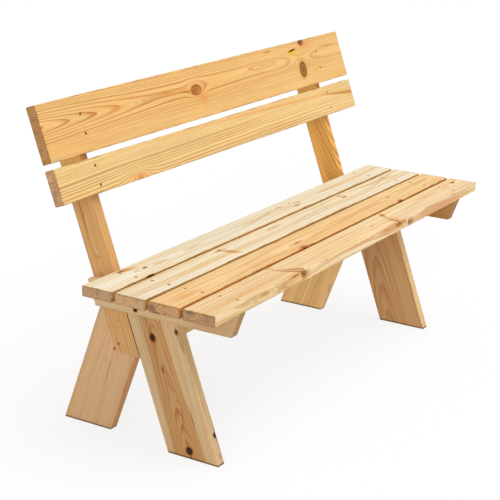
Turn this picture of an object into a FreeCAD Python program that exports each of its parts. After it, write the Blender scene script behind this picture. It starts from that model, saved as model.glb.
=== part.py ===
"""Garden bench of planed softwood boards: four-board seat, raked two-board back, crossed board legs.

Frame: X along the bench, front towards -Y, Z up, origin on the floor under the middle of the bench.
All sizes in millimetres.
"""
import FreeCAD
import Part

import os
from collections import namedtuple
from math import cos, degrees, radians, sin, tan

Vector = FreeCAD.Vector

# Overall sizes
BENCH_LENGTH = 1500.0
SEAT_HEIGHT = 459.0
BACKREST_HEIGHT = 454.0     # along the rake, from seat level to the top edge
LEG_CROSSING = 109.5        # level overlap of front and rear leg at the seat's underside
LEAN = radians(20.0)        # legs, posts and bearer ends all share one angle

# Timber stock
THICKNESS = 28.0
WIDE_BOARD = 145.0          # legs, upper backrest board, stretcher
NARROW_BOARD = 90.0         # seat boards, lower backrest board
POST_DEPTH = 70.0
BEARER_HEIGHT = 67.0
ARRIS_RADIUS = 2.5          # planed long edges
END_CHAMFER = 0.8           # sawn ends

# Layout
SEAT_BOARD_NAMES = ("rear", "mid_rear", "mid_front", "front")
SEAT_GAP = 9.0
BACKREST_GAP = 15.0
END_OVERHANG = 112.5        # board end to outer face of the bearer
POST_TOP_DROP = 12.0        # post top below the upper board's top edge
POST_FOOT_HEIGHT = 238.0    # floor to the post's level-cut lower end
BEARER_SETBACK = 3.0        # bearer ends behind the seat's front edge and the post's rear edge

# Clearances
SEAT_POST_CLEARANCE = 0.6   # rear seat board to post
LEG_POST_CLEARANCE = 1.2    # front leg to post, edge to edge
STRETCHER_CLEARANCE = 0.5   # stretcher to the rear legs' corners
HOLE_CLEARANCE = 0.25       # round every screw
MOUTH_OVERCUT = 1.0         # holes are cut this far out through the surface

# Screws
Screw = namedtuple("Screw", "length shank head sink")
BOARD_SCREW = Screw(length=50.0, shank=4.5, head=8.8, sink=1.0)
POST_SCREW = Screw(length=45.0, shank=4.5, head=8.8, sink=1.0)
BEARER_SCREW = Screw(length=50.0, shank=5.0, head=9.6, sink=0.5)
FRAME_SCREW = Screw(length=70.0, shank=6.0, head=10.5, sink=8.0)
STRETCHER_SCREW = Screw(length=90.0, shank=6.0, head=11.5, sink=0.5)
SCREW_SPACING = 50.0        # between the two screws across a board
HEAD_RIM = 0.6              # upright edge of a countersunk head
DRIVE_SHARE = 0.52          # drive recess across its lobes, per head diameter
DRIVE_WAIST = 0.70          # drive recess between its lobes, per width across the lobes
DRIVE_DEPTH_SHARE = 0.25    # drive recess depth, per head diameter
DRIVE_LOBES = 6
TIP_SHARE = 2.0             # screw tip length, per shank diameter

# Screw places
BEARER_SCREW_MISS = 7.0     # below the tips of the seat screws
BEARER_SCREW_PITCH = 40.0   # between the two screws in each frame piece
# Height above the post's lower end, and level distance behind its front edge
POST_SCREW_PLACES = ((90.0, 31.0), (25.0, 57.0))
FRAME_SCREW_DROP = 53.0     # below the seat's underside
FRAME_SCREW_INSET = 14.0    # behind the rear leg's front edge, level
STRETCHER_SCREW_DROPS = (18.0, 48.0)

# Levels and cross positions worked out from the sizes above
SEAT_UNDERSIDE = SEAT_HEIGHT - THICKNESS
BEARER_BOTTOM = SEAT_UNDERSIDE - BEARER_HEIGHT
RAKE = tan(LEAN)
LEVEL_WIDE = WIDE_BOARD / cos(LEAN)
LEVEL_POST = POST_DEPTH / cos(LEAN)
SEAT_DEPTH = len(SEAT_BOARD_NAMES) * NARROW_BOARD + (len(SEAT_BOARD_NAMES) - 1) * SEAT_GAP

# Y is measured back from the seat's front edge until the whole bench is centred at the end.
# Where the slanted pieces cross the level of the seat's underside:
POST_FRONT = SEAT_DEPTH + SEAT_POST_CLEARANCE
FRONT_LEG_BACK = POST_FRONT - LEG_POST_CLEARANCE / cos(LEAN)
REAR_LEG_FRONT = FRONT_LEG_BACK - LEG_CROSSING

# Layers of an end frame, outside to inside
BEARER_OUTER = BENCH_LENGTH / 2 - END_OVERHANG
LEG_OUTER = BEARER_OUTER - THICKNESS
REAR_LEG_OUTER = LEG_OUTER - THICKNESS
BEARER_MIDDLE = BEARER_OUTER - THICKNESS / 2
POST_MIDDLE = LEG_OUTER - THICKNESS / 2
SIDES = (("left", -1), ("right", 1))


def raked(crossing, height):
    """Y at a height on a line that leans back going up, from where it crosses the seat's underside."""
    return crossing + (height - SEAT_UNDERSIDE) * RAKE


def splayed(crossing, height):
    """Y at a height on a line that leans forward going up, from where it crosses the seat's underside."""
    return crossing - (height - SEAT_UNDERSIDE) * RAKE


def eased(timber, grain):
    """Round the long edges of a timber and take the sharp edge off its two ends."""
    long_edges = [edge for edge in timber.Edges
                  if abs(edge.tangentAt(edge.FirstParameter).dot(grain)) > 0.999]
    timber = timber.makeFillet(ARRIS_RADIUS, long_edges)
    rims = [edge for face in timber.Faces
            if abs(face.normalAt(0, 0).dot(grain)) > 0.5
            for edge in face.Edges]
    return timber.makeChamfer(END_CHAMFER, rims)


def end_frame_timber(corners, grain, outer, side):
    """A timber of an end frame: its outline in Y and Z, seen from the end, and its outer face."""
    inner_x = side * (outer - THICKNESS)
    points = [Vector(inner_x, y, z) for y, z in corners]
    outline = Part.Face(Part.makePolygon(points + points[:1]))
    return eased(outline.extrude(Vector(side * THICKNESS, 0, 0)), grain)


def lengthwise_board(length, depth, height):
    """A board along X, centred, with its lower front edge on the X axis."""
    board = Part.makeBox(length, depth, height, Vector(-length / 2, 0, 0))
    return eased(board, Vector(1, 0, 0))


def screw_body(screw, grow):
    """Countersunk screw pointing down from its head's top, or the hole for it when grown."""
    head = screw.head / 2 + grow
    shank = screw.shank / 2 + grow
    tip = screw.length - TIP_SHARE * screw.shank
    bottom = screw.length + grow
    neck = HEAD_RIM + head - shank
    top = screw.sink + MOUTH_OVERCUT if grow else 0.0
    profile = [(0, top), (head, top), (head, -HEAD_RIM), (shank, -neck), (shank, -tip), (0, -bottom)]
    points = [Vector(r, 0, z) for r, z in profile]
    outline = Part.Face(Part.makePolygon(points + points[:1]))
    return outline.revolve(Vector(0, 0, 0), Vector(0, 0, 1), 360)


def drive_recess(screw):
    """Star-shaped driver recess in the head's top."""
    lobe = screw.head * DRIVE_SHARE / 2
    waist = lobe * DRIVE_WAIST
    depth = screw.head * DRIVE_DEPTH_SHARE
    step = 180.0 / DRIVE_LOBES
    points = []
    for index in range(2 * DRIVE_LOBES):
        radius = waist if index % 2 else lobe
        angle = radians(step * index)
        points.append(Vector(radius * cos(angle), radius * sin(angle), -depth))
    outline = Part.Face(Part.makePolygon(points + points[:1]))
    return outline.extrude(Vector(0, 0, 2 * depth))


def placed(shape, point, direction):
    """Copy of a shape made pointing down, set at a point and pointing along a direction."""
    turn = FreeCAD.Rotation(Vector(0, 0, -1), direction)
    copy = shape.copy()
    copy.Placement = FreeCAD.Placement(point, turn)
    return copy


timbers = {}
fasteners = {}


def add_screws(group, screw, places, direction_of, pierced):
    """Drive one screw at each place on a surface, and drill it through the pieces it pierces."""
    body = screw_body(screw, 0.0).cut(drive_recess(screw))
    hole = screw_body(screw, HOLE_CLEARANCE)
    for place in places:
        direction = direction_of(place)
        seat = place + direction * screw.sink
        fasteners.setdefault(group, []).append(placed(body, seat, direction))
        for name in pierced(place):
            timbers[name] = timbers[name].cut(placed(hole, seat, direction))


def side_name(place):
    """Name of the end of the bench that a place belongs to."""
    return "left" if place.x < 0 else "right"


def inward(place):
    """Direction from an end of the bench towards its middle."""
    return Vector(-1 if place.x > 0 else 1, 0, 0)


# Seat boards, from rear to front
seat_middles = {}
for index, name in enumerate(SEAT_BOARD_NAMES):
    rear_edge = SEAT_DEPTH - index * (NARROW_BOARD + SEAT_GAP)
    board = lengthwise_board(BENCH_LENGTH, NARROW_BOARD, THICKNESS)
    board.translate(Vector(0, rear_edge - NARROW_BOARD, SEAT_UNDERSIDE))
    timbers["seat_board_" + name] = board
    seat_middles[name] = rear_edge - NARROW_BOARD / 2

# Backrest boards, fixed to the front edges of the posts
up_the_back = Vector(0, sin(LEAN), cos(LEAN))
into_the_back = Vector(0, cos(LEAN), -sin(LEAN))
post_line_at_seat = Vector(0, raked(POST_FRONT, SEAT_HEIGHT), SEAT_HEIGHT)
# The board faces meet seat level one board thickness ahead of the posts, measured level
back_origin = post_line_at_seat - Vector(0, THICKNESS / cos(LEAN), 0)
upper_bottom = BACKREST_HEIGHT - WIDE_BOARD
lower_bottom = upper_bottom - BACKREST_GAP - NARROW_BOARD
backrest_middles = {}
for name, bottom, width in (("upper", upper_bottom, WIDE_BOARD), ("lower", lower_bottom, NARROW_BOARD)):
    board = lengthwise_board(BENCH_LENGTH, THICKNESS, width)
    board.rotate(Vector(0, 0, 0), Vector(-1, 0, 0), degrees(LEAN))
    board.translate(back_origin + up_the_back * bottom)
    timbers["backrest_{}_board".format(name)] = board
    backrest_middles[name] = back_origin + up_the_back * (bottom + width / 2)

# End frames: bearer outside, then front leg and post side by side, then rear leg
down_to_the_rear = Vector(0, sin(LEAN), -cos(LEAN))
post_base = back_origin + into_the_back * THICKNESS
post_top_front = post_base + up_the_back * (BACKREST_HEIGHT - POST_TOP_DROP)
post_top_rear = post_top_front + into_the_back * POST_DEPTH
bearer_front = BEARER_SETBACK
bearer_rear = POST_FRONT + LEVEL_POST - BEARER_SETBACK
for side, sign in SIDES:
    timbers[side + "_seat_bearer"] = end_frame_timber(
        [(splayed(bearer_front, BEARER_BOTTOM), BEARER_BOTTOM),
         (raked(bearer_rear, BEARER_BOTTOM), BEARER_BOTTOM),
         (raked(bearer_rear, SEAT_UNDERSIDE), SEAT_UNDERSIDE),
         (splayed(bearer_front, SEAT_UNDERSIDE), SEAT_UNDERSIDE)],
        Vector(0, 1, 0), BEARER_OUTER, sign)
    timbers[side + "_front_leg"] = end_frame_timber(
        [(raked(FRONT_LEG_BACK - LEVEL_WIDE, 0), 0),
         (raked(FRONT_LEG_BACK, 0), 0),
         (raked(FRONT_LEG_BACK, SEAT_UNDERSIDE), SEAT_UNDERSIDE),
         (raked(FRONT_LEG_BACK - LEVEL_WIDE, SEAT_UNDERSIDE), SEAT_UNDERSIDE)],
        up_the_back, LEG_OUTER, sign)
    timbers[side + "_back_post"] = end_frame_timber(
        [(raked(POST_FRONT, POST_FOOT_HEIGHT), POST_FOOT_HEIGHT),
         (raked(POST_FRONT + LEVEL_POST, POST_FOOT_HEIGHT), POST_FOOT_HEIGHT),
         (post_top_rear.y, post_top_rear.z),
         (post_top_front.y, post_top_front.z)],
        up_the_back, LEG_OUTER, sign)
    timbers[side + "_rear_leg"] = end_frame_timber(
        [(splayed(REAR_LEG_FRONT, 0), 0),
         (splayed(REAR_LEG_FRONT + LEVEL_WIDE, 0), 0),
         (splayed(REAR_LEG_FRONT + LEVEL_WIDE, SEAT_UNDERSIDE), SEAT_UNDERSIDE),
         (splayed(REAR_LEG_FRONT, SEAT_UNDERSIDE), SEAT_UNDERSIDE)],
        down_to_the_rear, REAR_LEG_OUTER, sign)

# Stretcher on edge under the seat, between the front legs and ahead of the rear legs
stretcher = lengthwise_board(2 * REAR_LEG_OUTER, THICKNESS, WIDE_BOARD)
stretcher_rear = REAR_LEG_FRONT - STRETCHER_CLEARANCE
stretcher.translate(Vector(0, stretcher_rear - THICKNESS, SEAT_UNDERSIDE - WIDE_BOARD))
timbers["seat_stretcher"] = stretcher

# Screws down through the seat boards into the bearers
for name, middle in seat_middles.items():
    places = [Vector(sign * BEARER_MIDDLE, middle + row * SCREW_SPACING / 2, SEAT_HEIGHT)
              for side, sign in SIDES for row in (-1, 1)]
    add_screws("seat_screws", BOARD_SCREW, places, lambda place: Vector(0, 0, -1),
               lambda place: ("seat_board_" + name, side_name(place) + "_seat_bearer"))

# Screws through the backrest boards into the posts
for name, middle in backrest_middles.items():
    places = [middle + up_the_back * (row * SCREW_SPACING / 2) + Vector(sign * POST_MIDDLE, 0, 0)
              for side, sign in SIDES for row in (-1, 1)]
    add_screws("backrest_screws", BOARD_SCREW, places, lambda place: into_the_back,
               lambda place: ("backrest_{}_board".format(name), side_name(place) + "_back_post"))

# Screws through the post feet into the rear legs
places = []
for rise, behind in POST_SCREW_PLACES:
    height = POST_FOOT_HEIGHT + rise
    places += [Vector(sign * LEG_OUTER, raked(POST_FRONT, height) + behind, height) for side, sign in SIDES]
add_screws("post_screws", POST_SCREW, places, inward,
           lambda place: (side_name(place) + "_back_post", side_name(place) + "_rear_leg"))

# Screws through the bearers into the front legs and the posts
bearer_screw_height = SEAT_HEIGHT - BOARD_SCREW.sink - BOARD_SCREW.length - BEARER_SCREW_MISS
leg_middle = raked(FRONT_LEG_BACK - LEVEL_WIDE / 2, bearer_screw_height)
post_middle = raked(POST_FRONT + LEVEL_POST / 2, bearer_screw_height)
for piece, middle in (("_front_leg", leg_middle), ("_back_post", post_middle)):
    places = [Vector(sign * BEARER_OUTER, middle + row * BEARER_SCREW_PITCH / 2, bearer_screw_height)
              for side, sign in SIDES for row in (-1, 1)]
    add_screws("bearer_screws", BEARER_SCREW, places, inward,
               lambda place: (side_name(place) + "_seat_bearer", side_name(place) + piece))

# Deep-sunk screws through bearer and front leg into the rear leg
frame_screw_height = SEAT_UNDERSIDE - FRAME_SCREW_DROP
frame_screw_y = splayed(REAR_LEG_FRONT, frame_screw_height) + FRAME_SCREW_INSET
places = [Vector(sign * BEARER_OUTER, frame_screw_y, frame_screw_height) for side, sign in SIDES]
add_screws("frame_screws", FRAME_SCREW, places, inward,
           lambda place: [side_name(place) + piece for piece in ("_seat_bearer", "_front_leg", "_rear_leg")])

# Screws through the front legs into the ends of the stretcher, under the bearers
places = [Vector(sign * LEG_OUTER, stretcher_rear - THICKNESS / 2, SEAT_UNDERSIDE - drop)
          for side, sign in SIDES for drop in STRETCHER_SCREW_DROPS]
add_screws("stretcher_screws", STRETCHER_SCREW, places, inward,
           lambda place: (side_name(place) + "_front_leg", "seat_stretcher"))

# Centre the bench front to back, and write one file for each timber and each group of like screws
extent = Part.makeCompound(list(timbers.values())).BoundBox
to_centre = Vector(0, -(extent.YMin + extent.YMax) / 2, 0)
nodes = dict(timbers)
for name, screws in fasteners.items():
    nodes[name] = Part.makeCompound(screws)
os.makedirs("parts", exist_ok=True)
for name, shape in nodes.items():
    shape.translate(to_centre)
    shape.exportStep("parts/{}.step".format(name))
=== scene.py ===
import math
from dataclasses import dataclass

import bpy
from mathutils import Matrix, Vector


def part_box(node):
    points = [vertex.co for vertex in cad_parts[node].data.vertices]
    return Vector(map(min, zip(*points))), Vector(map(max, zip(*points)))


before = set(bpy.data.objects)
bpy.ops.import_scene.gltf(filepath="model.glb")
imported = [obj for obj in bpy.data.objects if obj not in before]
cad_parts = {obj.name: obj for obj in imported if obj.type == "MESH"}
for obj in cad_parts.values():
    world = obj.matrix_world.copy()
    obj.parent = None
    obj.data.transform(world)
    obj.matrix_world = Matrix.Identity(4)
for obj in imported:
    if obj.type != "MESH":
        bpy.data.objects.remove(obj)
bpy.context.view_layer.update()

MM = 0.001
X_AXIS = Vector((1, 0, 0))
Y_AXIS = Vector((0, 1, 0))
Z_AXIS = Vector((0, 0, 1))

# The end frames and the backrest lean by the same angle.
LEAN = math.radians(20)
RAKED = Vector((0, math.sin(LEAN), math.cos(LEAN)))
SPLAYED = Vector((0, -math.sin(LEAN), math.cos(LEAN)))
BACKREST_FRONT = Vector((0, -math.cos(LEAN), math.sin(LEAN)))

# Each kind of board: the direction of its grain, and the way its best face looks.
BOARD_AXES = {
    "seat": (X_AXIS, Z_AXIS),
    "backrest": (X_AXIS, BACKREST_FRONT),
    "raked": (RAKED, -X_AXIS),
    "splayed": (SPLAYED, -X_AXIS),
    "bearer": (-Y_AXIS, -X_AXIS),
    "stretcher": (X_AXIS, -Y_AXIS),
}


def srgb(red, green, blue):
    """A colour as it looks on a screen, 0 to 255, as the linear colour that a shader takes."""
    def linear(value):
        share = value / 255
        if share <= 0.04045:
            return share / 12.92
        return ((share + 0.055) / 1.055) ** 2.4
    return (linear(red), linear(green), linear(blue), 1.0)


# Node graphs

SEED_STEPS = (7.3, 3.7, 1.9)


class Field:
    """A value that varies over a surface: one node's output, with arithmetic."""

    def __init__(self, graph, socket):
        self.graph = graph
        self.socket = socket

    def math(self, operation, *others):
        return self.graph.math(operation, self, *others)

    def __add__(self, other):
        return self.math("ADD", other)

    __radd__ = __add__

    def __sub__(self, other):
        return self.math("SUBTRACT", other)

    def __rsub__(self, other):
        return self.graph.math("SUBTRACT", other, self)

    def __mul__(self, other):
        return self.math("MULTIPLY", other)

    def __truediv__(self, other):
        return self.math("DIVIDE", other)

    def __rtruediv__(self, other):
        return self.graph.math("DIVIDE", other, self)

    def __abs__(self):
        return self.math("ABSOLUTE")

    def rise(self, low, high):
        """0 at low, 1 at high, and a smooth step between them."""
        node = self.graph.add("ShaderNodeMapRange", {0: self, 1: low, 2: high, 3: 0.0, 4: 1.0},
                              interpolation_type="SMOOTHSTEP")
        return Field(self.graph, node.outputs[0])

    def spread(self, low, high):
        """-1 at low, 1 at high, straight between them and level beyond."""
        node = self.graph.add("ShaderNodeMapRange", {0: self, 1: low, 2: high, 3: -1.0, 4: 1.0})
        return Field(self.graph, node.outputs[0])


class Graph:
    """One material's node tree."""

    def __init__(self, name):
        self.material = bpy.data.materials.new(name)
        self.material.use_nodes = True
        self.tree = self.material.node_tree
        self.tree.nodes.clear()

    def add(self, kind, inputs=None, **settings):
        node = self.tree.nodes.new(kind)
        for name, value in settings.items():
            setattr(node, name, value)
        for key, value in (inputs or {}).items():
            if isinstance(value, Field):
                self.tree.links.new(value.socket, node.inputs[key])
            else:
                node.inputs[key].default_value = value
        return node

    def math(self, operation, *values):
        node = self.add("ShaderNodeMath", dict(enumerate(values)), operation=operation)
        return Field(self, node.outputs[0])

    def vector_math(self, operation, *values):
        node = self.add("ShaderNodeVectorMath", dict(enumerate(values)), operation=operation)
        return Field(self, node.outputs["Value" if operation == "LENGTH" else "Vector"])

    def mapping(self, place, location=(0, 0, 0), rotation=(0, 0, 0), scale=(1, 1, 1), kind="POINT"):
        node = self.add("ShaderNodeMapping",
                        {"Vector": place, "Location": location, "Rotation": rotation, "Scale": scale},
                        vector_type=kind)
        return Field(self, node.outputs[0])

    def split(self, place):
        node = self.add("ShaderNodeSeparateXYZ", {0: place})
        return [Field(self, socket) for socket in node.outputs]

    def noise(self, place, size, seed, detail, output="Fac"):
        """Noise from 0 to 1 whose blotches are about size millimetres in the three directions."""
        scaled = self.mapping(place, location=[seed * step for step in SEED_STEPS],
                              scale=[1 / length for length in size])
        node = self.add("ShaderNodeTexNoise", {"Vector": scaled, "Scale": 1.0, "Detail": detail})
        return Field(self, node.outputs[output])

    def line_noise(self, place, scale):
        """Noise from 0 to 1 along a single number."""
        node = self.add("ShaderNodeTexNoise", {"W": place, "Scale": scale, "Detail": 1.0},
                        noise_dimensions="1D")
        return Field(self, node.outputs[0])

    def grey(self, value):
        node = self.add("ShaderNodeCombineColor", {0: value, 1: value, 2: value})
        return Field(self, node.outputs[0])

    def mix(self, factor, first, second, blend="MIX"):
        node = self.add("ShaderNodeMix", {0: factor, 6: first, 7: second},
                        data_type="RGBA", blend_type=blend)
        return Field(self, node.outputs[2])

    def ramp(self, factor, stops):
        """A colour ramp through stops of (place, colour with its alpha); gives colour and alpha."""
        node = self.add("ShaderNodeValToRGB", {0: factor})
        elements = node.color_ramp.elements
        while len(elements) < len(stops):
            elements.new(1.0)
        for element, (position, colour) in zip(elements, stops):
            element.position = position
            element.color = colour
        return Field(self, node.outputs[0]), Field(self, node.outputs[1])

    def finish(self, height, bump_distance, inputs):
        """Ends the material in one surface whose height is in units of bump_distance metres."""
        bump = self.add("ShaderNodeBump", {"Height": height, "Distance": bump_distance, "Strength": 1.0})
        shader = self.add("ShaderNodeBsdfPrincipled", {**inputs, "Normal": Field(self, bump.outputs[0])})
        output = self.add("ShaderNodeOutputMaterial")
        self.tree.links.new(shader.outputs[0], output.inputs["Surface"])
        return self.material


# Boards

@dataclass
class Knot:
    """A branch, a stain, or a patch of painted light or shade in a board. Places and half lengths are in
    millimetres along, across and out.

    lift is how many rings it pushes outwards, or draws in below 0, over reach times its half lengths;
    turn is in degrees about the face; a pointed one narrows across the board to a tip; tail is how many
    times its own length the dark grain before and behind it is. One without a kind only bends the
    rings, and one without lift only colours the wood."""
    place: tuple
    size: tuple
    kind: str = "sound"
    lift: float = 1.0
    turn: float = 0.0
    reach: tuple = (3.5, 2.8)
    tail: float = 0.0
    pointed: bool = False


@dataclass
class Board:
    """How one board was cut. All lengths are in millimetres.

    early and late are the colours of its spring and summer wood, and end is that of its end grain.
    pith is the place of the log's middle, across and out, at the start, middle and end of its bend, and
    bend is where along the board that is, as shares of its half length. ring is a ring's width. Beyond
    the radius in tight, the rings are as narrow as its second value. contrast and end_contrast are how
    plainly the rings show, sharp above 1 narrows their dark lines, and wander is how far they stray.
    zone and tints are the strengths of bands of other colours, and chatter that of the planer's marks.
    calm is where across the board its rings fade, and faded where along it. heart is the heartwood's
    radius and tint. gaps are edges with tints of their own, most of them painted shade where they face a
    neighbour: which side, from where to where along the board, and the tints at the best face and at the
    face behind it. A later knot lies over an earlier one."""
    node: str
    kind: str
    early: tuple
    late: tuple
    pith: tuple
    ring: float
    seed: int
    contrast: float = 0.8
    sharp: float = 1.0
    bend: tuple = (-1, 1)
    tight: tuple = ()
    wander: float = 4.0
    zone: float = 0.15
    tints: float = 0.5
    chatter: float = 0.2
    end_contrast: float = 0.6
    end: tuple = ()
    calm: tuple = ()
    faded: tuple = ()
    heart: tuple = ()
    gaps: tuple = ()
    knots: tuple = ()


# Colour and cover of a knot from its middle outwards; its rim is at 0.62.
KNOT_KINDS = {
    "sound": ((0.0, (178, 118, 52), 0.95), (0.2, (150, 92, 34), 0.95), (0.42, (176, 112, 46), 0.92),
              (0.58, (98, 54, 18), 0.95), (0.7, (208, 140, 64), 0.5), (1.0, (228, 160, 84), 0.0)),
    "cored": ((0.0, (150, 98, 46), 0.95), (0.16, (110, 64, 22), 0.95), (0.34, (170, 110, 46), 0.92),
              (0.56, (94, 50, 14), 0.95), (0.7, (204, 130, 54), 0.5), (1.0, (228, 160, 84), 0.0)),
    "ringed": ((0.0, (206, 150, 96), 0.7), (0.26, (190, 132, 80), 0.8), (0.38, (100, 64, 42), 0.95),
               (0.56, (82, 52, 36), 0.95), (0.68, (190, 132, 78), 0.5), (1.0, (216, 160, 100), 0.0)),
    "dark": ((0.0, (46, 18, 2), 1.0), (0.3, (62, 28, 5), 1.0), (0.48, (70, 32, 6), 0.95),
             (0.66, (122, 70, 28), 0.75), (0.82, (170, 112, 58), 0.35), (1.0, (190, 132, 74), 0.0)),
    "eye": ((0.0, (92, 52, 22), 1.0), (0.22, (70, 36, 14), 1.0), (0.36, (34, 16, 4), 1.0),
            (0.52, (44, 20, 6), 0.95), (0.64, (112, 64, 26), 0.8), (0.8, (160, 104, 54), 0.4),
            (1.0, (186, 128, 72), 0.0)),
    "bark": ((0.0, (96, 54, 22), 1.0), (0.3, (116, 68, 30), 1.0), (0.5, (92, 52, 20), 0.95),
             (0.66, (180, 112, 52), 0.6), (1.0, (224, 154, 80), 0.0)),
    "torn": ((0.0, (108, 60, 22), 1.0), (0.42, (122, 70, 28), 0.95), (0.6, (170, 106, 50), 0.6),
             (0.74, (206, 146, 80), 0.25), (1.0, (218, 164, 100), 0.0)),
    "pin": ((0.0, (140, 84, 34), 0.95), (0.4, (156, 96, 40), 0.9), (0.58, (192, 126, 60), 0.5),
            (0.75, (218, 158, 92), 0.2), (1.0, (224, 164, 98), 0.0)),
    "rust": ((0.0, (146, 78, 36), 0.95), (0.4, (162, 90, 44), 0.9), (0.58, (204, 124, 62), 0.6),
             (0.75, (228, 154, 88), 0.35), (1.0, (232, 164, 98), 0.0)),
    "faint": ((0.0, (208, 150, 80), 0.7), (0.4, (216, 162, 94), 0.55), (0.65, (224, 176, 112), 0.3),
              (0.85, (228, 182, 120), 0.1), (1.0, (228, 182, 120), 0.0)),
    "feather": ((0.0, (186, 124, 56), 0.9), (0.4, (202, 144, 74), 0.8), (0.6, (216, 160, 92), 0.5),
                (0.8, (224, 175, 110), 0.2), (1.0, (226, 178, 118), 0.0)),
    "flame": ((0.0, (228, 150, 70), 0.6), (0.4, (228, 154, 76), 0.45), (0.65, (230, 160, 84), 0.25),
              (0.85, (230, 164, 90), 0.1), (1.0, (230, 164, 92), 0.0)),
    "resin": ((0.0, (238, 188, 24), 1.0), (0.5, (238, 186, 30), 0.95), (0.62, (232, 178, 50), 0.6),
              (0.72, (230, 180, 90), 0.1), (1.0, (230, 184, 100), 0.0)),
    "spike": ((0.0, (228, 164, 96), 0.5), (0.28, (210, 142, 78), 0.6), (0.42, (130, 74, 36), 0.95),
              (0.58, (122, 68, 32), 0.95), (0.7, (196, 132, 72), 0.5), (1.0, (218, 150, 82), 0.0)),
    "bruise": ((0.0, (104, 78, 72), 0.75), (0.5, (116, 88, 78), 0.6), (0.8, (140, 106, 88), 0.25),
               (1.0, (160, 120, 96), 0.0)),
    "streak": ((0.0, (134, 80, 32), 0.85), (0.4, (158, 100, 44), 0.65), (0.65, (192, 128, 62), 0.3),
               (0.85, (210, 146, 80), 0.1), (1.0, (216, 152, 80), 0.0)),
    "shade": ((0.0, (156, 112, 72), 0.6), (0.5, (168, 124, 84), 0.4), (0.8, (180, 136, 96), 0.15),
              (1.0, (186, 142, 100), 0.0)),
    "pale": ((0.0, (240, 204, 150), 0.85), (0.48, (240, 204, 150), 0.8), (0.62, (232, 196, 142), 0.4),
             (0.8, (226, 188, 134), 0.0)),
    # Painted light: a paler, warmer patch where the backrest boards shade a post.
    "fresh": ((0.0, (255, 200, 106), 0.75), (0.4, (252, 198, 110), 0.55), (0.7, (246, 194, 114), 0.25),
              (1.0, (240, 190, 118), 0.0)),
    "gold": ((0.0, (246, 214, 148), 0.5), (0.5, (246, 212, 146), 0.45), (0.8, (244, 208, 146), 0.25),
             (1.0, (250, 214, 156), 0.0)),
    "arch": ((0.0, (236, 190, 124), 0.2), (0.34, (226, 170, 100), 0.2), (0.46, (206, 140, 76), 0.5),
             (0.58, (180, 114, 58), 0.6), (0.7, (208, 150, 88), 0.35), (0.9, (226, 178, 116), 0.0)),
    "halo": ((0.0, (226, 180, 120), 0.0), (0.5, (222, 176, 116), 0.0), (0.58, (200, 160, 104), 0.4),
             (0.64, (196, 156, 100), 0.45), (0.72, (226, 180, 120), 0.0)),
    "rose": ((0.0, (214, 150, 96), 0.85), (0.5, (216, 154, 100), 0.75), (0.8, (226, 168, 114), 0.35),
             (1.0, (236, 182, 128), 0.0)),
    "tan": ((0.0, (179, 141, 96), 0.5), (0.5, (182, 144, 100), 0.45), (0.8, (190, 154, 110), 0.3),
            (1.0, (196, 162, 118), 0.0)),
}
# How far out a knot's colours reach, as a share of its half lengths.
KNOT_RAMP_REACH = 1.6
# A tail's width as a share of its knot's, and the width of a pointed knot's tip as a share of its middle.
TAIL_WIDTH = 0.55
TIP_WIDTH = 0.02
# Where a pointed knot stops, and how much farther off all beyond it counts.
POINT_STOP = (0.95, 1.0)
BEYOND_POINT = 2.0
# How far out a board's best face is, and a half length that takes a knot right through the board.
FACE = 14
THROUGH = 300

# Tints
BLUSH = srgb(255, 234, 212)
HONEY = srgb(255, 242, 200)
# Painted shade on the edges along a gap, at its mouth and deeper in: open between seat boards, tight
# between a post and a front leg.
OPEN_GAP_SHADE = (srgb(216, 180, 118), srgb(180, 142, 86))
TIGHT_GAP_SHADE = (srgb(120, 84, 48), srgb(104, 72, 40))
END_EARLY = srgb(187, 139, 97)
END_LATE = srgb(94, 57, 35)
END_STAIN = srgb(104, 78, 69)
CHECK_TINT = srgb(84, 54, 34)
# Painted contact shadow at the bottom of a foot.
FOOT_SHADOW = srgb(64, 42, 26)
# Wear on the arrises, and painted shade on the rims of the ends.
WORN_AND_SHADED = srgb(150, 98, 52)

# How much of a tint or a change covers the wood where it is strongest.
CALM_LOSS = 0.75
FADED_LOSS = 0.5
HEART_THREADS = 0.2
STREAK_COVER = 0.25
END_COVER = 0.85
END_STAIN_COVER = 0.4
CHECK_COVER = 0.6
FOOT_SHADOW_COVER = 0.85
WORN_AND_SHADED_COVER = 0.6

# The rings: how far they stray for each millimetre of a board's wander, in short waves and long ones,
# how unlike the years are, how weak the palest are, and where late wood starts and is darkest in a ring.
SWAY = 0.5
DRIFT = 4
YEAR_SCALE = 0.45
YEAR_SPREAD = 0.9
YEAR_SEED_STEP = 5.1
STRENGTH_SEED_STEP = 3.7
WEAKEST_RING = 0.65
PALEST_RINGS = 0.65
LATE_WOOD = (0.4, 0.92)
END_LATE_WOOD = (0.55, 0.95)

# The heartwood's edge in millimetres: how ragged and how soft it is.
HEART_RAGGED = 14
HEART_SOFT = 2.5

# The planer's marks: their pitch in millimetres, slant and unevenness, and how much shows on plain grain.
CHATTER_PITCH = 5.8
CHATTER_SLANT = 0.25
CHATTER_UNEVEN = 6.0
CHATTER_ELSEWHERE = 0.25

# How squarely a surface looks along the grain to be end grain, or across it to be an edge.
END_FACING = (0.55, 0.85)
EDGE_FACING = (0.5, 0.9)
# The checks in end grain: how close together they are, and which of them open.
CHECK_SCALE = 9.0
CHECK_OPEN = (0.63, 0.7)
# How far from an arris its wear starts, and is full, the same for the painted shade on an end's rim, and
# how softly a gap ends, in millimetres.
ARRIS_WEAR = (5, 1)
END_SHADE = (4, 1)
GAP_FADE = 4
# The height of the painted contact shadow at a foot's bottom, and of the part that it covers most.
FOOT_SHADOW_HEIGHT = 7 * MM
FOOT_SHADOW_SOLID = FOOT_SHADOW_HEIGHT / 4

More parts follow.
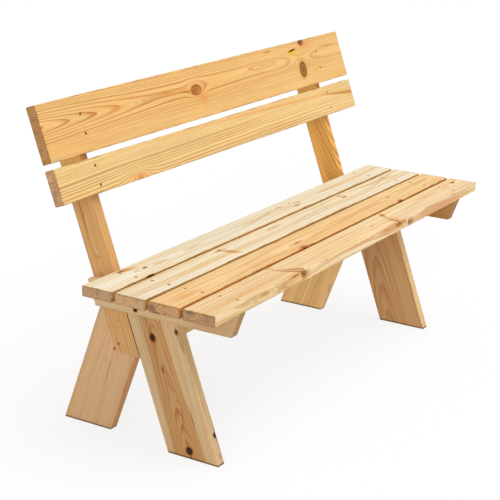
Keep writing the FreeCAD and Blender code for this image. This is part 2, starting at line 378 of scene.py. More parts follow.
# How much lighter or darker each makes the wood.
FIBRE_SHADE = 0.2
THREAD_SHADE = 0.35
STREAK_SHADE = 0.35
MOTTLE_SHADE = 0.14
ZONE_SHADE = 0.1
CANAL_SHADE = 0.1
CHATTER_SHADE = 0.16
# How high or deep each is, in millimetres.
LATE_HEIGHT = 0.10
FIBRE_HEIGHT = 0.08
CHATTER_HEIGHT = 0.02
CANAL_DEPTH = 0.04
# How rough the wood is, and how much each changes it.
WOOD_ROUGHNESS = 0.62
LATE_GLOSS = 0.12
FIBRE_ROUGHNESS = 0.2
END_ROUGHNESS = 0.15
WORN_GLOSS = 0.12
WOOD_SPECULAR = 0.12

# Half of a noise's range.
HALF = 0.5
MIDDLE = (HALF, HALF, HALF)

# The grain's noises: how long, wide and thick their blotches are in millimetres, and how fine they are.
NOISES = {
    "drift": ((420, 110, 110), 1.0),
    "sway": ((90, 22, 22), 2.0),
    "fibre": ((70, 1.1, 1.1), 3.0),
    "thread": ((160, 2.6, 2.6), 2.0),
    "streak": ((460, 4.5, 4.5), 3.0),
    "zone": ((900, 24, 24), 1.0),
    "mottle": ((300, 60, 60), 2.0),
    "canal": ((14, 0.7, 0.7), 1.0),
    "fading": ((240, 40, 40), 1.0),
    "blush": ((380, 16, 16), 2.0),
    "honey": ((520, 8, 8), 2.0),
    "scuff": ((110, 16, 16), 2.0),
    "break": ((9, 5, 5), 1.0),
    "check": ((9, 9, 9), 2.0),
    "end_stain": ((20, 20, 20), 2.0),
    "wear_and_end_shade": ((45, 8, 8), 2.0),
}
NOISE_SEED_STEP = 17

# Between which of its values a noise comes to show. The painted shade on the rims of the ends shows
# sooner than wear on arrises.
SHOWS = {
    "thread": (0.52, 0.7),
    "streak": (0.5, 0.72),
    "zone": (0.45, 0.7),
    "canal": (0.68, 0.78),
    "fading": (0.2, 0.6),
    "blush": (0.48, 0.68),
    "honey": (0.5, 0.68),
    "scuff": (0.32, 0.55),
    "break": (0.35, 0.6),
    "check": (0.45, 0.6),
    "end_stain": (0.5, 0.7),
    "wear_and_end_shade": (0.45, 0.7),
    "end_shade": (0.3, 0.55),
}


def mesh_of(node):
    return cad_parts[node].data


def board_frame(board):
    """The middle of a board, its three directions as a turn, and its half sizes in millimetres."""
    grain, out = BOARD_AXES[board.kind]
    across = out.cross(grain)
    low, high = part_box(board.node)
    middle = (low + high) / 2
    turn = Matrix((grain, across, out)).transposed().to_euler()
    points = [vertex.co - middle for vertex in mesh_of(board.node).vertices]
    half = [max(abs(point.dot(axis)) for point in points) / MM for axis in (grain, across, out)]
    return middle, turn, half


def curve_through(start, middle, end, share):
    """A smooth line through three values, at share -1, 0 and 1."""
    return share * (share * ((start + end) / 2 - middle) + (end - start) / 2) + middle


def inside(graph, place, knot, stretch=(1.0, 1.0, 1.0)):
    """How far each point is from a knot's middle, as a share of its half lengths times stretch."""
    sizes = [length * factor for length, factor in zip(knot.size, stretch)]
    within = graph.mapping(place, location=knot.place, rotation=(0, 0, math.radians(knot.turn)),
                           scale=sizes, kind="TEXTURE")
    if not knot.pointed:
        return graph.vector_math("LENGTH", within)
    along, across, out = graph.split(within)
    width = ((1.0 - across) * 0.5).math("MAXIMUM", TIP_WIDTH)
    beyond = abs(across).rise(*POINT_STOP) * BEYOND_POINT
    return (along * along + out * out).math("SQRT") / width + beyond


def bulge(graph, place, knot):
    """How many rings are pushed outwards round a knot."""
    distance = inside(graph, place, knot, (*knot.reach, 1.0))
    return knot.lift / (distance * distance + 1.0).math("POWER", 2.0)


def lay_knot_colours(graph, colour, distance, kind):
    """Lays a knot's colours over a board's."""
    stops = [(position, (*srgb(*tone)[:3], cover)) for position, tone, cover in KNOT_KINDS[kind]]
    tone, cover = graph.ramp(distance / KNOT_RAMP_REACH, stops)
    return graph.mix(cover, colour, tone)


class Pine:
    """Planed pine cut from a log: rings about a pith, knots, fibres, end grain and worn arrises.

    Every value is worked out in the board's own frame, so that all faces of a board belong together."""

    def __init__(self, board):
        self.board = board
        self.graph = Graph(board.node + "_pine")
        middle, turn, self.half = board_frame(board)
        coordinates = self.graph.add("ShaderNodeTexCoord")
        self.whole_place = Field(self.graph, coordinates.outputs["Object"])
        self.place = self.graph.mapping(self.whole_place, location=middle, rotation=turn,
                                        scale=(MM, MM, MM), kind="TEXTURE")
        self.along, self.across, self.out = self.graph.split(self.place)
        normal = self.graph.mapping(Field(self.graph, coordinates.outputs["Normal"]), rotation=turn,
                                    kind="TEXTURE")
        normal_along, self.normal_across, _ = self.graph.split(normal)
        self.facing_end = abs(normal_along).rise(*END_FACING)
        self.grow()
        self.fibre = self.noise("fibre")
        self.thread = self.noise("thread")
        self.streak = self.noise("streak")
        self.zone = self.noise("zone")
        self.canals = self.showing("canal")

    def noise(self, name, output="Fac"):
        """One of the grain's noises, different on every board."""
        size, detail = NOISES[name]
        seed = self.board.seed + NOISE_SEED_STEP * list(NOISES).index(name)
        return self.graph.noise(self.place, size, seed, detail, output)

    def showing(self, name):
        """Where one of the grain's noises shows, from 0 to 1."""
        return self.noise(name).rise(*SHOWS[name])

    def pushed(self, place, name, amount):
        """The place moved across and out by a noise, half of amount either way at the most."""
        push = self.graph.vector_math("SUBTRACT", self.noise(name, "Color"), MIDDLE)
        push = self.graph.vector_math("MULTIPLY", push, (0.0, amount, amount))
        return self.graph.vector_math("ADD", place, push)

    def grow(self):
        """The growth rings. The log is never quite straight, so they drift along the board."""
        board, half = self.board, self.half
        self.wobbly = self.pushed(self.place, "sway", board.wander * SWAY)
        drifted = self.pushed(self.wobbly, "drift", board.wander * DRIFT)
        _, ring_across, ring_out = self.graph.split(drifted)
        share = self.along.spread(board.bend[0] * half[0], board.bend[1] * half[0])
        off_across = ring_across - curve_through(*[point[0] for point in board.pith], share)
        off_out = ring_out - curve_through(*[point[1] for point in board.pith], share)
        self.radius = (off_across * off_across + off_out * off_out).math("SQRT")
        self.angle = off_out.math("ARCTAN2", off_across)
        rings = self.radius / board.ring
        if board.tight:
            radius, ring = board.tight
            rings = rings + (self.radius - radius).math("MAXIMUM", 0.0) * (1 / ring - 1 / board.ring)
        for knot in board.knots:
            if knot.lift:
                rings = rings - bulge(self.graph, self.wobbly, knot)
        years = self.graph.line_noise(rings + board.seed * YEAR_SEED_STEP, YEAR_SCALE)
        phase = rings + (years - HALF) * YEAR_SPREAD
        index = phase.math("FLOOR")
        year = self.graph.add("ShaderNodeTexWhiteNoise", {"W": index + board.seed * STRENGTH_SEED_STEP},
                              noise_dimensions="1D")
        self.part = phase - index
        self.strength = Field(self.graph, year.outputs[0]) * (1 - WEAKEST_RING) + WEAKEST_RING
        self.late = self.part.rise(*LATE_WOOD).math("POWER", board.sharp) * self.strength

    def ring_cover(self):
        """How plainly the rings show on the faces."""
        cover = self.showing("fading") * (1 - PALEST_RINGS) + PALEST_RINGS
        if self.board.calm:
            cover = cover * (1.0 - self.across.rise(*self.board.calm) * CALM_LOSS)
        if self.board.faded:
            cover = cover * (1.0 - self.along.rise(*self.board.faded) * FADED_LOSS)
        return cover * self.board.contrast

    def planer_marks(self):
        """Short marks across the grain, in patches, mostly where the rings are calm."""
        board = self.board
        smooth = self.across.rise(*board.calm) if board.calm else 0.0
        scuff = self.noise("scuff")
        stroke = (self.along * (2 * math.pi / CHATTER_PITCH) + self.across * CHATTER_SLANT
                  + scuff * CHATTER_UNEVEN).math("SINE")
        patches = scuff.rise(*SHOWS["scuff"]) * self.showing("break")
        return stroke * patches * ((smooth + CHATTER_ELSEWHERE) * board.chatter)

    def face_colour(self):
        """Early and late wood, heartwood, and bands of other tints along the grain."""
        graph, board = self.graph, self.board
        colour = graph.mix(self.late * self.ring_cover(), board.early, board.late)
        if board.heart:
            heart_radius, heart_tint = board.heart
            ragged = self.radius + (self.streak - HALF) * HEART_RAGGED
            heart = 1.0 - ragged.rise(heart_radius - HEART_SOFT, heart_radius + HEART_SOFT)
            threads = 1.0 - self.thread.rise(*SHOWS["thread"]) * HEART_THREADS
            tinted = graph.mix(1.0, colour, heart_tint, "MULTIPLY")
            colour = graph.mix(heart, colour, graph.mix(1.0, tinted, graph.grey(threads), "MULTIPLY"))
        colour = graph.mix(self.zone.rise(*SHOWS["zone"]) * board.zone, colour, board.late)
        colour = graph.mix(self.streak.rise(*SHOWS["streak"]) * STREAK_COVER, colour, board.late)
        for name, tint in (("blush", BLUSH), ("honey", HONEY)):
            colour = graph.mix(self.showing(name) * board.tints, colour,
                               graph.mix(1.0, colour, tint, "MULTIPLY"))
        return colour

    def shade(self, marks):
        """How light or dark each point is against its board: fibres, blotches and planer marks."""
        lines = ((self.fibre - HALF) * FIBRE_SHADE + (self.thread - HALF) * THREAD_SHADE
                 + (self.streak - HALF) * STREAK_SHADE)
        blotches = (self.noise("mottle") - HALF) * MOTTLE_SHADE - (self.zone - HALF) * ZONE_SHADE
        details = marks * CHATTER_SHADE - self.canals * CANAL_SHADE
        return self.graph.grey(lines + blotches + details + 1.0)

    def with_knots(self, colour):
        """Lays the knots and their tails over the wood, each over the ones before it."""
        graph = self.graph
        for knot in self.board.knots:
            if knot.tail:
                tail = inside(graph, self.wobbly, knot, (knot.tail, TAIL_WIDTH, 1.0))
                colour = lay_knot_colours(graph, colour, tail, "streak")
            if knot.kind:
                colour = lay_knot_colours(graph, colour, inside(graph, self.wobbly, knot), knot.kind)
        return colour

    def with_end_grain(self, colour, shade):
        """End grain drinks in light, shows its rings sharply, and checks open from the pith."""
        graph, board = self.graph, self.board
        rays = graph.line_noise(self.angle + board.seed, CHECK_SCALE).rise(*CHECK_OPEN)
        check = rays * self.showing("check")
        rings = self.part.rise(*END_LATE_WOOD) * self.strength * board.end_contrast
        end_colour = graph.mix(rings, board.end or END_EARLY, END_LATE)
        end_colour = graph.mix(self.showing("end_stain") * END_STAIN_COVER, end_colour, END_STAIN)
        end_colour = graph.mix(check * CHECK_COVER, end_colour, CHECK_TINT)
        end_colour = graph.mix(1.0, end_colour, shade, "MULTIPLY")
        return graph.mix(self.facing_end * END_COVER, colour, end_colour)

    def with_gaps(self, colour):
        """Lays the tints of the board's gaps over its edges. Most are painted shade, darker deeper in the
        gap.
        """
        graph, half_thickness = self.graph, self.half[2]
        for side, start, end, (mouth, deep) in self.board.gaps:
            facing = (self.normal_across * side).rise(*EDGE_FACING)
            begun = self.along.rise(start, start + GAP_FADE)
            stretch = begun * (1.0 - self.along.rise(end - GAP_FADE, end))
            tint = graph.mix(self.out.rise(-half_thickness, half_thickness), deep, mouth)
            # Painted shade along most gaps; the near rear leg's front edge takes a blush.
            colour = graph.mix(facing * stretch, colour, graph.mix(1.0, colour, tint, "MULTIPLY"))
        return colour

    def with_foot_shadow(self, colour):
        """Paints a contact shadow on a foot, darker towards the floor."""
        low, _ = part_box(self.board.node)
        if low.z > FOOT_SHADOW_HEIGHT:
            return colour
        _, _, height = self.graph.split(self.whole_place)
        foot_shadow = 1.0 - height.rise(FOOT_SHADOW_SOLID, FOOT_SHADOW_HEIGHT)
        return self.graph.mix(foot_shadow * FOOT_SHADOW_COVER, colour, FOOT_SHADOW)

    def wear_and_end_shade(self):
        """Arrises are handled most and darken with wear in broken stretches; the rims of the ends darken
        with painted shade in broken stretches.
        """
        half_length, half_width, half_thickness = self.half
        starts, full = ARRIS_WEAR
        side = abs(self.across).rise(half_width - starts, half_width - full)
        face = abs(self.out).rise(half_thickness - starts, half_thickness - full)
        starts, full = END_SHADE
        end = abs(self.along).rise(half_length - starts, half_length - full)
        noise = self.noise("wear_and_end_shade")
        arrises = side * face * noise.rise(*SHOWS["wear_and_end_shade"])
        # Painted shade on the rims of the ends.
        shaded_rims = end * side.math("MAXIMUM", face) * noise.rise(*SHOWS["end_shade"])
        return (arrises + shaded_rims).math("MINIMUM", 1.0)

    def material(self):
        """All of it together."""
        graph = self.graph
        marks = self.planer_marks()
        shade = self.shade(marks)
        worn_and_shaded = self.wear_and_end_shade()
        colour = graph.mix(1.0, self.face_colour(), shade, "MULTIPLY")
        colour = self.with_knots(self.with_end_grain(colour, shade))
        # Painted shade in the gaps, and a painted contact shadow at the feet.
        colour = self.with_foot_shadow(self.with_gaps(colour))
        # Wear on the arrises, and painted shade on the rims of the ends.
        colour = graph.mix(worn_and_shaded * WORN_AND_SHADED_COVER, colour, WORN_AND_SHADED)
        height = (self.late * LATE_HEIGHT + self.fibre * FIBRE_HEIGHT + marks * CHATTER_HEIGHT
                  - self.canals * CANAL_DEPTH)
        roughness = (WOOD_ROUGHNESS - self.late * LATE_GLOSS + (self.fibre - HALF) * FIBRE_ROUGHNESS
                     + self.facing_end * END_ROUGHNESS - worn_and_shaded * WORN_GLOSS)
        return graph.finish(height, MM, {"Base Color": colour, "Roughness": roughness,
                                         "Specular IOR Level": WOOD_SPECULAR})


# Painted shade in a bearer's deep bore: its half lengths.
BORE_SHADE_SIZE = (5.8, 5.8, 40)


def bore_shade(bearer):
    """Painted shade in the deep bore of a bearer and on its dark rim, placed by the screw in it."""
    low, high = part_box("frame_screws")
    bore = (low + high) / 2
    low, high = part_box(bearer)
    away = (bore - (low + high) / 2) / MM
    return Knot((-away.y, away.z, FACE), BORE_SHADE_SIZE, "dark", 0.0)


# A seat board's edge along a gap runs its whole length, and takes painted shade.
BOTH_GAPS = ((1, -800, 800, OPEN_GAP_SHADE), (-1, -800, 800, OPEN_GAP_SHADE))
FRONT_GAP = BOTH_GAPS[1:]
REAR_GAP = BOTH_GAPS[:1]
# The near rear leg's front edge is redder than its side.
FLUSHED_EDGE = ((-1, -400, 400, (BLUSH, BLUSH)),)
# A post and a front leg stand side by side below the seat; the faces between them take painted shade.
LEG_GAP = ((1, -40, 240, TIGHT_GAP_SHADE),)
POST_GAP = ((-1, -340, -140, TIGHT_GAP_SHADE),)
# Beside the backrest boards, which shade a post's side, a paler patch paints light on it.
PAINTED_LIGHT_BEHIND_BOARDS = Knot((198, 0, FACE), (75, 80, 12), "fresh", 0.0)

BOARDS = (
    Board("backrest_upper_board", "backrest", srgb(236, 193, 126), srgb(194, 123, 50),
          pith=((16, 3.2), (17, -18), (18, -25)), bend=(-1, 0), ring=6.0, tight=(46, 4.2), seed=1,
          contrast=1.0, sharp=1.8, wander=1.6, zone=0.08, tints=0.35, chatter=1.1, end_contrast=0.4,
          end=srgb(183, 132, 84), calm=(-25, -50), faded=(60, 380),
          knots=(Knot((-90, 7, FACE), (24, 14, THROUGH), "sound", 2.5, reach=(1.7, 2.0)),
                 Knot((-200, 18, FACE), (75, 5, 60), "flame", 0.6, turn=-2, reach=(1.4, 2.2)),
                 Knot((-230, 20, FACE), (48, 2.5, 60), "feather", 0.0, turn=-2),
                 Knot((-135, 9, FACE), (30, 2, 60), "streak", 0.0),
                 Knot((-455, 11, FACE), (55, 5, 60), "flame", 0.0, turn=6),
                 Knot((-366, 16.5, FACE), (7, 1.5, 20), "feather", 0.0),
                 Knot((-333, 17, FACE), (8, 1.5, 20), "feather", 0.0),
                 Knot((-66, -16, FACE), (24, 24, 60), "flame", 0.0),
                 Knot((492, -18, FACE), (19, 25, THROUGH), "cored", -2.4, turn=-19, reach=(4.0, 2.2)),
                 Knot((518, 66, FACE), (16, 11, THROUGH), "bark", -2.5),
                 Knot((545, 58, FACE), (24, 12, 60), "flame", 0.0),
                 Knot((457, 42, FACE), (24, 7, 20), "resin", 0.0, turn=7),
                 Knot((455, 47, FACE), (20, 2.5, 20), "dark", 0.0, turn=7),
                 Knot((270, 27, FACE), (60, 5, 60), "", 2.0, reach=(1.7, 2.2)),
                 Knot((676, 37, FACE), (62, 2, 30), "feather", 0.0, turn=-1),
                 Knot((316, 61, FACE), (22, 4, 40), "feather", 0.4))),
    Board("backrest_lower_board", "backrest", srgb(236, 203, 142), srgb(183, 122, 53),
          pith=((-140, -60), (-125, -60), (-120, -60)), ring=7.5, seed=2, contrast=1.0, sharp=1.6,
          wander=2.5, zone=0.08, tints=0.3, chatter=1.6, end_contrast=0.25, end=srgb(197, 151, 112),
          calm=(-6, 18), faded=(250, 650),
          knots=(Knot((-437, -47, FACE), (16, 7, 80), "", 1.5, reach=(4.0, 3.6)),
                 Knot((-434, -30, FACE), (18, 7, 80), "", 3.2, reach=(2.6, 2.2)),
                 Knot((-434, -37, FACE), (36, 8, 40), "flame", 0.0),
                 Knot((320, 28, FACE), (420, 4, 20), "flame", 0.0, turn=-1.4),
                 Knot((650, 13, FACE), (8, 100, 40), "feather", 0.0, turn=85, pointed=True))),
    Board("seat_board_rear", "seat", srgb(240, 234, 212), srgb(218, 177, 112),
          pith=((-3, -18), (0, -22), (3, -26)), ring=6.5, seed=3, contrast=0.7, end_contrast=0.5,
          gaps=FRONT_GAP,
          knots=(Knot((-596, 29, FACE), (32, 10, 60), "feather", 0.6, turn=-12),
                 Knot((-611, 31, FACE), (14, 6, 60), "pin", 0.0, turn=-12),
                 Knot((-551, 1, FACE), (9, 4, THROUGH), "bark", 1.0),
                 Knot((-590, -45, 12), (18, 4, 7), "torn", 0.0),
                 Knot((184, -16, FACE), (11, 5, THROUGH), "pin", 1.0, tail=2.5),
                 Knot((190, 13, FACE), (6, 3, THROUGH), "pin", 1.0),
                 Knot((128, 13, FACE), (16, 5, THROUGH), "faint", 1.5),
                 Knot((-336, 0, FACE), (40, 5, 40), "faint", 0.0),
                 Knot((-232, -20, FACE), (7, 3, THROUGH), "faint", 1.0))),
    Board("seat_board_mid_rear", "seat", srgb(241, 235, 215), srgb(218, 177, 111),
          pith=((20, -30), (18, -30), (16, -32)), ring=6.0, seed=4, contrast=0.9, tints=0.4,
          end_contrast=0.35, end=srgb(202, 158, 110), gaps=BOTH_GAPS, heart=(58, srgb(254, 246, 234)),
          knots=(Knot((-321, 25, FACE), (10, 6, THROUGH), "pin", 1.0),
                 Knot((-310, -5, FACE), (12, 25, 30), "feather", 0.0, turn=24),
                 Knot((347, 30, FACE), (9, 4, THROUGH), "pin", 0.6),
                 Knot((348, 12, FACE), (11, 5, THROUGH), "pin", 0.6))),
    Board("seat_board_mid_front", "seat", srgb(241, 209, 156), srgb(213, 144, 72),
          pith=((-12, -18), (0, -24), (10, -28)), ring=6.5, seed=5, contrast=0.7, end_contrast=0.85,
          end=srgb(202, 154, 110), gaps=BOTH_GAPS,
          knots=(Knot((-672, -5, FACE), (48, 12, 40), "flame", 0.0),
                 Knot((-750, 34, -2), (8, 9, 8), "bruise", 0.0),
                 Knot((-750, 22, -12), (8, 10, 4), "bruise", 0.0),
                 Knot((-143, -9, FACE), (14, 4, THROUGH), "rust", 1.2, tail=2.0),
                 Knot((-180, -43, FACE), (46, 7, 30), "flame", 0.0),
                 Knot((-163, -41, FACE), (17, 7, THROUGH), "rust", 1.0),
                 Knot((-170, 44, FACE), (24, 8, 30), "feather", 0.5),
                 Knot((425, 3, FACE), (14, 3, THROUGH), "rust", 1.2, tail=2.0),
                 Knot((415, -42, FACE), (13, 6, THROUGH), "rust", 1.0))),
    Board("seat_board_front", "seat", srgb(245, 224, 183), srgb(210, 155, 89),
          pith=((25, 17), (16, 20), (8, 24)), ring=6.0, seed=6, contrast=0.8, zone=0.3, tints=0.7,
          end_contrast=0.85, gaps=REAR_GAP,
          knots=(Knot((-450, -52, 0), (330, 8, 20), "gold", 0.0),
                 Knot((480, -50, -2), (200, 9, 14), "rose", 0.0),
                 Knot((140, -46, 6), (60, 8, 10), "rose", 0.0),
                 Knot((214, -24, FACE), (26, 20, 20), "flame", 0.0),
                 Knot((-750, 25, 9), (8, 12, 3.5), "bruise", 0.0),
                 Knot((-600, -46, 9), (26, 8, 4), "tan", 0.0),
                 Knot((-516, -46, 0), (60, 14, 13), "halo", 0.0),
                 Knot((-530, -46, 6), (26, 8, 5), "feather", 3.0, reach=(2.4, 2.0)),
                 Knot((-468, -46, 5), (28, 10, 8), "halo", 0.0),
                 Knot((-398, -46, 3), (26, 8, 7), "flame", 2.5, reach=(2.4, 2.0)),
                 Knot((-398, -46, -2), (70, 16, 19), "halo", 0.0),
                 Knot((-382, -46, 1), (66, 14, 13), "arch", 0.0),
                 Knot((-384, -46, 12), (22, 4, 3), "pin", 0.0),
                 Knot((-341, -45, 7), (11, 10, 9), "ringed", 1.0),
                 Knot((-363, -8, FACE), (16, 46, 12), "spike", 0.0, turn=38, pointed=True),
                 Knot((-376, 36, FACE), (15, 8, 20), "flame", 0.0),
                 Knot((-470, 26, FACE), (85, 1.2, 12), "streak", 0.0, turn=-2.5),
                 Knot((282, -45, -3), (16, 12, 10), "shade", 1.0),
                 Knot((282, -45, -3), (13, 12, 8), "shade", 0.0),
                 Knot((269, -45, -1), (5, 12, 9), "torn", 0.0),
                 Knot((233, 23, FACE), (9, 20, 20), "feather", 0.0, turn=-37),
                 Knot((238, 27, FACE), (8, 6, 15), "pin", 0.0),
                 Knot((210, -20, FACE), (4, 31, 12), "streak", 0.0, turn=-21),
                 Knot((205, -46, 5), (38, 8, 9), "feather", 1.5),
                 Knot((200, -46, 8), (22, 6, 6), "rust", 0.0),
                 Knot((209, -38, FACE), (3, 14, 8), "torn", 0.0, turn=-36),
                 Knot((167, -42, FACE), (26, 3, 10), "feather", 0.0),
                 Knot((124, 0, FACE), (11, 3, 10), "feather", 0.0),
                 Knot((242, -46, 6), (7, 5, 4), "feather", 0.0),
                 Knot((228, -47, 12), (18, 3, 3), "torn", 0.0),
                 Knot((208, -46, 9), (6, 5, 4), "torn", 0.0),
                 Knot((703, 14, FACE), (14, 5, THROUGH), "torn", 1.0))),
    Board("left_front_leg", "raked", srgb(217, 189, 147), srgb(176, 126, 73),
          pith=((8, -24), (9, -30), (7, -38)), ring=3.5, seed=7, contrast=0.75, wander=6.0, sharp=1.3,
          heart=(57, srgb(240, 216, 190)), calm=(-46, -60), gaps=LEG_GAP,
          knots=(Knot((80, 14.5, FACE), (22, 2.5, 20), "streak", 0.0, turn=4),
                 Knot((98, 14, FACE), (11, 8, THROUGH), "dark", 1.5, tail=3.0),
                 Knot((101, -64, FACE), (7, 5, THROUGH), "dark", 1.5, tail=2.5),
                 Knot((66, -67, FACE), (34, 2, 20), "streak", 0.0, turn=6),
                 Knot((12, 12, FACE), (10, 3, 12), "torn", 0.5),
                 Knot((-25, 7, FACE), (8, 2, 10), "streak", 0.0, turn=8),
                 Knot((-39, 1, FACE), (10, 2, 10), "streak", 0.0, turn=14),
                 Knot((-73, -6, FACE), (9, 2, 10), "streak", 0.0, turn=10),
                 Knot((-116, -6.5, FACE), (38, 2, 12), "streak", 0.0, turn=-16),
                 Knot((-126, -35, FACE), (32, 2, 12), "streak", 0.0, turn=-3),
                 Knot((-186, 4, FACE), (16, 2.5, 14), "streak", 0.0),
                 Knot((-205, 3, FACE), (10, 10, THROUGH), "eye", 1.5, tail=3.0),
                 Knot((-178, -72, -6), (7, 8, 5), "dark", 1.0),
                 Knot((-165, -72, -14), (75, 4, 3.5), "dark", 0.0),
                 Knot((-232, -72, -4), (8, 6, 3), "streak", 0.0))),
    Board("left_rear_leg", "splayed", srgb(223, 183, 139), srgb(191, 139, 86),
          pith=((150, -40), (150, -40), (150, -40)), ring=4.0, seed=8, contrast=0.6, zone=0.05,
          tints=0.25, gaps=FLUSHED_EDGE,
          knots=(Knot((21, -7, FACE), (5, 2, 20), "dark", 0.0),
                 Knot((-56, -10, FACE), (52, 2.5, 20), "shade", 0.0, turn=2),
                 Knot((-22, 6, FACE), (7, 2, 12), "shade", 0.0))),
    Board("right_front_leg", "raked", srgb(201, 158, 109), srgb(150, 94, 46),
          pith=((42, -50), (31, -60), (20, -70)), ring=5.0, seed=9, contrast=0.5, calm=(5, -25),
          gaps=LEG_GAP, knots=(Knot((0, -77, 0), (600, 6, 60), "pale", 0.0),)),
    # This leg's colours are paler than its wood, as painted light against the shade it stands in below
    # the seat.
    Board("right_rear_leg", "splayed", srgb(255, 215, 150), srgb(226, 160, 88),
          pith=((80, -120), (80, -115), (80, -110)), ring=9.0, seed=10, contrast=0.5, zone=0.35),
    Board("left_back_post", "raked", srgb(216, 169, 112), srgb(184, 126, 64),
          pith=((60, -60), (60, -60), (60, -60)), ring=5.0, seed=12, contrast=0.65, wander=3.0, zone=0.0,
          tints=0.2, gaps=POST_GAP,
          knots=(Knot((-98, -8, FACE), (28, 10, 80), "", 5.0, reach=(1.8, 2.0)),
                 Knot((105, 4, FACE), (60, 9, 80), "", 3.0, reach=(1.6, 1.6)),
                 Knot((36, 16, FACE), (50, 2.4, 12), "streak", 0.0), PAINTED_LIGHT_BEHIND_BOARDS)),
    Board("right_back_post", "raked", srgb(238, 184, 102), srgb(170, 106, 42),
          pith=((-214, -30), (-136, -30), (-58, -30)), ring=9.0, seed=13, contrast=1.0, zone=0.05,
          calm=(4, 30), gaps=POST_GAP, knots=(PAINTED_LIGHT_BEHIND_BOARDS,)),
    Board("left_seat_bearer", "bearer", srgb(226, 199, 156), srgb(189, 144, 89),
          pith=((120, -60), (120, -60), (120, -60)), ring=5.0, seed=14, contrast=0.6, wander=3.0,
          tints=0.25,
          knots=(bore_shade("left_seat_bearer"),
                 Knot((185, -5, FACE), (80, 55, 60), "tan", 3.0, reach=(0.7, 0.6)))),
    Board("right_seat_bearer", "bearer", srgb(189, 147, 93), srgb(158, 103, 50),
          pith=((120, -60), (120, -60), (120, -60)), ring=5.0, seed=15, contrast=0.6, wander=3.0,
          knots=(bore_shade("right_seat_bearer"),)),
    Board("seat_stretcher", "stretcher", srgb(244, 206, 150), srgb(196, 138, 74),
          pith=((0, -50), (0, -60), (0, -60)), ring=5.0, seed=16, contrast=0.7),
)


# Screws

GREY_ZINC = (srgb(166, 148, 124), srgb(216, 202, 180))
YELLOW_ZINC = (srgb(196, 152, 96), srgb(224, 182, 122))
BLACK_STEEL = (srgb(40, 32, 26), srgb(66, 54, 44))
STEEL_ROUGHNESS = 0.38
# Patches of brighter plating: their size in millimetres, seed and fineness, where they show, and what
# they change.
PATCH_NOISE = ((1.5, 1.5, 1.5), 3, 3.0)
PATCH_SHOWS = (0.35, 0.7)
PATCH_ROUGHNESS = 0.3
SCRATCH_NOISE = ((2.0, 0.15, 0.15), 5, 2.0)
SCRATCH_ROUGHNESS = 0.2
SCRATCH_DEPTH = 0.01 * MM
# Painted shade and dirt in the recesses of the screws, and on their heads: colour, depth and height.
RECESS_SHADE_AND_DIRT = srgb(24, 14, 6)
RECESS_SHADE_AND_DIRT_DEPTH = 0.8 * MM
HEAD_SHADE_AND_DIRT_HEIGHT = 0.5 * MM


def recess_shade_and_dirt(graph, whole_place, node, facing, axis):
    """How much painted shade and dirt darken the recesses of a node's screws, and their heads.

    facing is the way the heads look on the right half of the bench; the left half mirrors it. The shade
    and dirt thin out along an axis, 0 for x to 2 for z."""
    def level(x, y, z):
        return abs(x) * facing.x + y * facing.y + z * facing.z

    heads = max(level(*vertex.co) for vertex in mesh_of(node).vertices)
    low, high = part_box(node)
    places = graph.split(whole_place)
    filled = 1.0 - level(*places).rise(heads - RECESS_SHADE_AND_DIRT_DEPTH, heads + HEAD_SHADE_AND_DIRT_HEIGHT)
    return filled * (1.0 - places[axis].rise(low[axis], high[axis]))


def screw_steel(name, dull, bright, shaded_and_dirty=()):
    """Plated steel, brushed by handling and duller in patches; shaded_and_dirty is what
    recess_shade_and_dirt takes, for painted shade and dirt in the recesses.
    """
    graph = Graph(name)
    coordinates = graph.add("ShaderNodeTexCoord")
    whole_place = Field(graph, coordinates.outputs["Object"])
    place = graph.mapping(whole_place, scale=(1 / MM, 1 / MM, 1 / MM))
    patches = graph.noise(place, *PATCH_NOISE)
    scratches = graph.noise(place, *SCRATCH_NOISE)
    colour = graph.mix(patches.rise(*PATCH_SHOWS), dull, bright)
    if shaded_and_dirty:
        # Painted shade and dirt in the recesses.
        colour = graph.mix(recess_shade_and_dirt(graph, whole_place, *shaded_and_dirty), colour, RECESS_SHADE_AND_DIRT)
    roughness = ((patches - HALF) * PATCH_ROUGHNESS + (scratches - HALF) * SCRATCH_ROUGHNESS
                 + STEEL_ROUGHNESS)
    return graph.finish(scratches, SCRATCH_DEPTH, {"Base Color": colour, "Roughness": roughness,
                                                   "Metallic": 1.0})


def give_finish(node, material):
    """Puts a material in a CAD node's slot."""
    mesh = mesh_of(node)
    mesh.materials.clear()
    mesh.materials.append(material)


for board in BOARDS:
    give_finish(board.node, Pine(board).material())
zinc = screw_steel("zinc_steel", *GREY_ZINC)
STEELS = {
    "frame_screws": screw_steel("black_steel", *BLACK_STEEL),
    # Painted shade and dirt in the recesses of these screws.
    "backrest_screws": screw_steel("backrest_steel", *YELLOW_ZINC,
                                   shaded_and_dirty=("backrest_screws", BACKREST_FRONT, 0)),
    "post_screws": screw_steel("post_steel", *YELLOW_ZINC, shaded_and_dirty=("post_screws", X_AXIS, 2)),
}
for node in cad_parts:
    if node.endswith("_screws"):
        give_finish(node, STEELS.get(node, zinc))


# Floor, light and camera

WHITE = (1, 1, 1, 1)
FLOOR_HALF = 40.0
FLOOR_DROP = 0.5 * MM
FLOOR_COLOUR = (0.72, 0.72, 0.72, 1)
FLOOR_SEEN = (0.98, 0.98, 0.98, 1)
SHADOW_SOFTENING = 0.8
SKY = 0.42
# Where the bench's edges in the photo say the camera stood, in metres, degrees and millimetres.
CAMERA_PLACE = (-3.2835, -1.9538, 1.5696)
CAMERA_HEADING = -58.41
CAMERA_PITCH = 17.43
CAMERA_ROLL = 1.172
CAMERA_LENS = 101.09
SENSOR_WIDTH = 36.0


def link_all(tree, pairs):
    for outlet, inlet in pairs:
        tree.links.new(outlet, inlet)


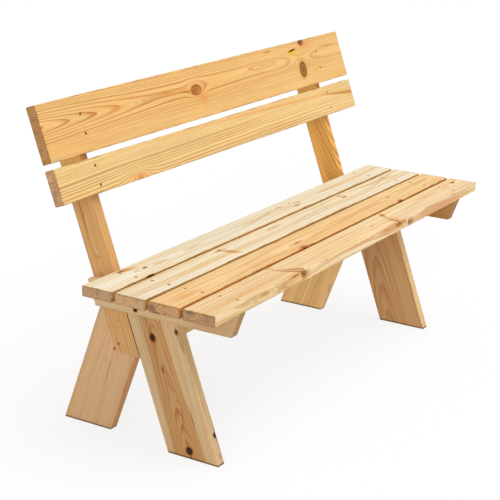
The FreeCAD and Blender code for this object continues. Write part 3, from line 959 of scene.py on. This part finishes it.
def seen_directly(tree):
    """1 for rays from the camera, mirrored or not, and 0 for the light that falls on things."""
    path = tree.nodes.new("ShaderNodeLightPath")
    total = path.outputs["Is Camera Ray"]
    for kind in ("Is Glossy Ray", "Is Transmission Ray"):
        either = tree.nodes.new("ShaderNodeMath")
        either.operation = "MAXIMUM"
        link_all(tree, ((total, either.inputs[0]), (path.outputs[kind], either.inputs[1])))
        total = either.outputs[0]
    return total


def studio_floor():
    """A pale floor that the camera sees as white, with the bench's shadow on it."""
    corners = [(-FLOOR_HALF, -FLOOR_HALF, 0), (FLOOR_HALF, -FLOOR_HALF, 0),
               (FLOOR_HALF, FLOOR_HALF, 0), (-FLOOR_HALF, FLOOR_HALF, 0)]
    mesh = bpy.data.meshes.new("studio_floor")
    mesh.from_pydata(corners, [], [(0, 1, 2, 3)])
    floor = bpy.data.objects.new("studio_floor", mesh)
    floor.location.z = -FLOOR_DROP
    bpy.context.scene.collection.objects.link(floor)
    graph = Graph("studio_floor")
    bounce = graph.add("ShaderNodeBsdfDiffuse", {"Color": FLOOR_COLOUR})
    seen = graph.add("ShaderNodeBsdfDiffuse", {"Color": FLOOR_SEEN})
    glow = graph.add("ShaderNodeEmission", {"Color": WHITE, "Strength": 1.0})
    backdrop = graph.add("ShaderNodeMixShader", {0: SHADOW_SOFTENING})
    choice = graph.add("ShaderNodeMixShader")
    output = graph.add("ShaderNodeOutputMaterial")
    link_all(graph.tree, (
        (seen.outputs[0], backdrop.inputs[1]), (glow.outputs[0], backdrop.inputs[2]),
        (seen_directly(graph.tree), choice.inputs[0]), (bounce.outputs[0], choice.inputs[1]),
        (backdrop.outputs[0], choice.inputs[2]), (choice.outputs[0], output.inputs["Surface"])))
    mesh.materials.append(graph.material)
    return floor


def studio_world():
    """An even dome of light that the camera and reflections see as white."""
    world = bpy.data.worlds.new("studio")
    bpy.context.scene.world = world
    world.use_nodes = True
    tree = world.node_tree
    tree.nodes.clear()
    sky = tree.nodes.new("ShaderNodeBackground")
    sky.inputs["Color"].default_value = WHITE
    sky.inputs["Strength"].default_value = SKY
    backdrop = tree.nodes.new("ShaderNodeBackground")
    backdrop.inputs["Color"].default_value = WHITE
    choice = tree.nodes.new("ShaderNodeMixShader")
    output = tree.nodes.new("ShaderNodeOutputWorld")
    link_all(tree, (
        (seen_directly(tree), choice.inputs[0]), (sky.outputs[0], choice.inputs[1]),
        (backdrop.outputs[0], choice.inputs[2]), (choice.outputs[0], output.inputs[0])))


def soft_lamp(name, comes_from, share, width):
    """A broad soft source: a sun lamp as wide as a soft box, in degrees, giving share of a full light."""
    data = bpy.data.lights.new(name, "SUN")
    data.energy = share * math.pi
    data.angle = math.radians(width)
    lamp = bpy.data.objects.new(name, data)
    lamp.rotation_euler = Vector(comes_from).to_track_quat("Z", "Y").to_euler()
    bpy.context.scene.collection.objects.link(lamp)


def photo_camera():
    """The camera at the photo's place and angle."""
    heading = math.radians(CAMERA_HEADING)
    pitch = math.radians(CAMERA_PITCH)
    roll = math.radians(CAMERA_ROLL)
    data = bpy.data.cameras.new("camera")
    data.sensor_width = SENSOR_WIDTH
    data.lens = CAMERA_LENS
    camera = bpy.data.objects.new("camera", data)
    turn = (Matrix.Rotation(heading, 4, "Z") @ Matrix.Rotation(math.pi / 2 - pitch, 4, "X")
            @ Matrix.Rotation(roll, 4, "Z"))
    camera.matrix_world = Matrix.Translation(CAMERA_PLACE) @ turn
    bpy.context.scene.collection.objects.link(camera)
    return camera


studio_floor()
studio_world()
soft_lamp("key", comes_from=(0.08, -0.4, 0.91), share=0.58, width=60)
soft_lamp("fill", comes_from=(-0.84, -0.46, 0.26), share=0.34, width=30)
bpy.context.scene.camera = photo_camera()
bpy.context.scene.view_settings.view_transform = "Standard"
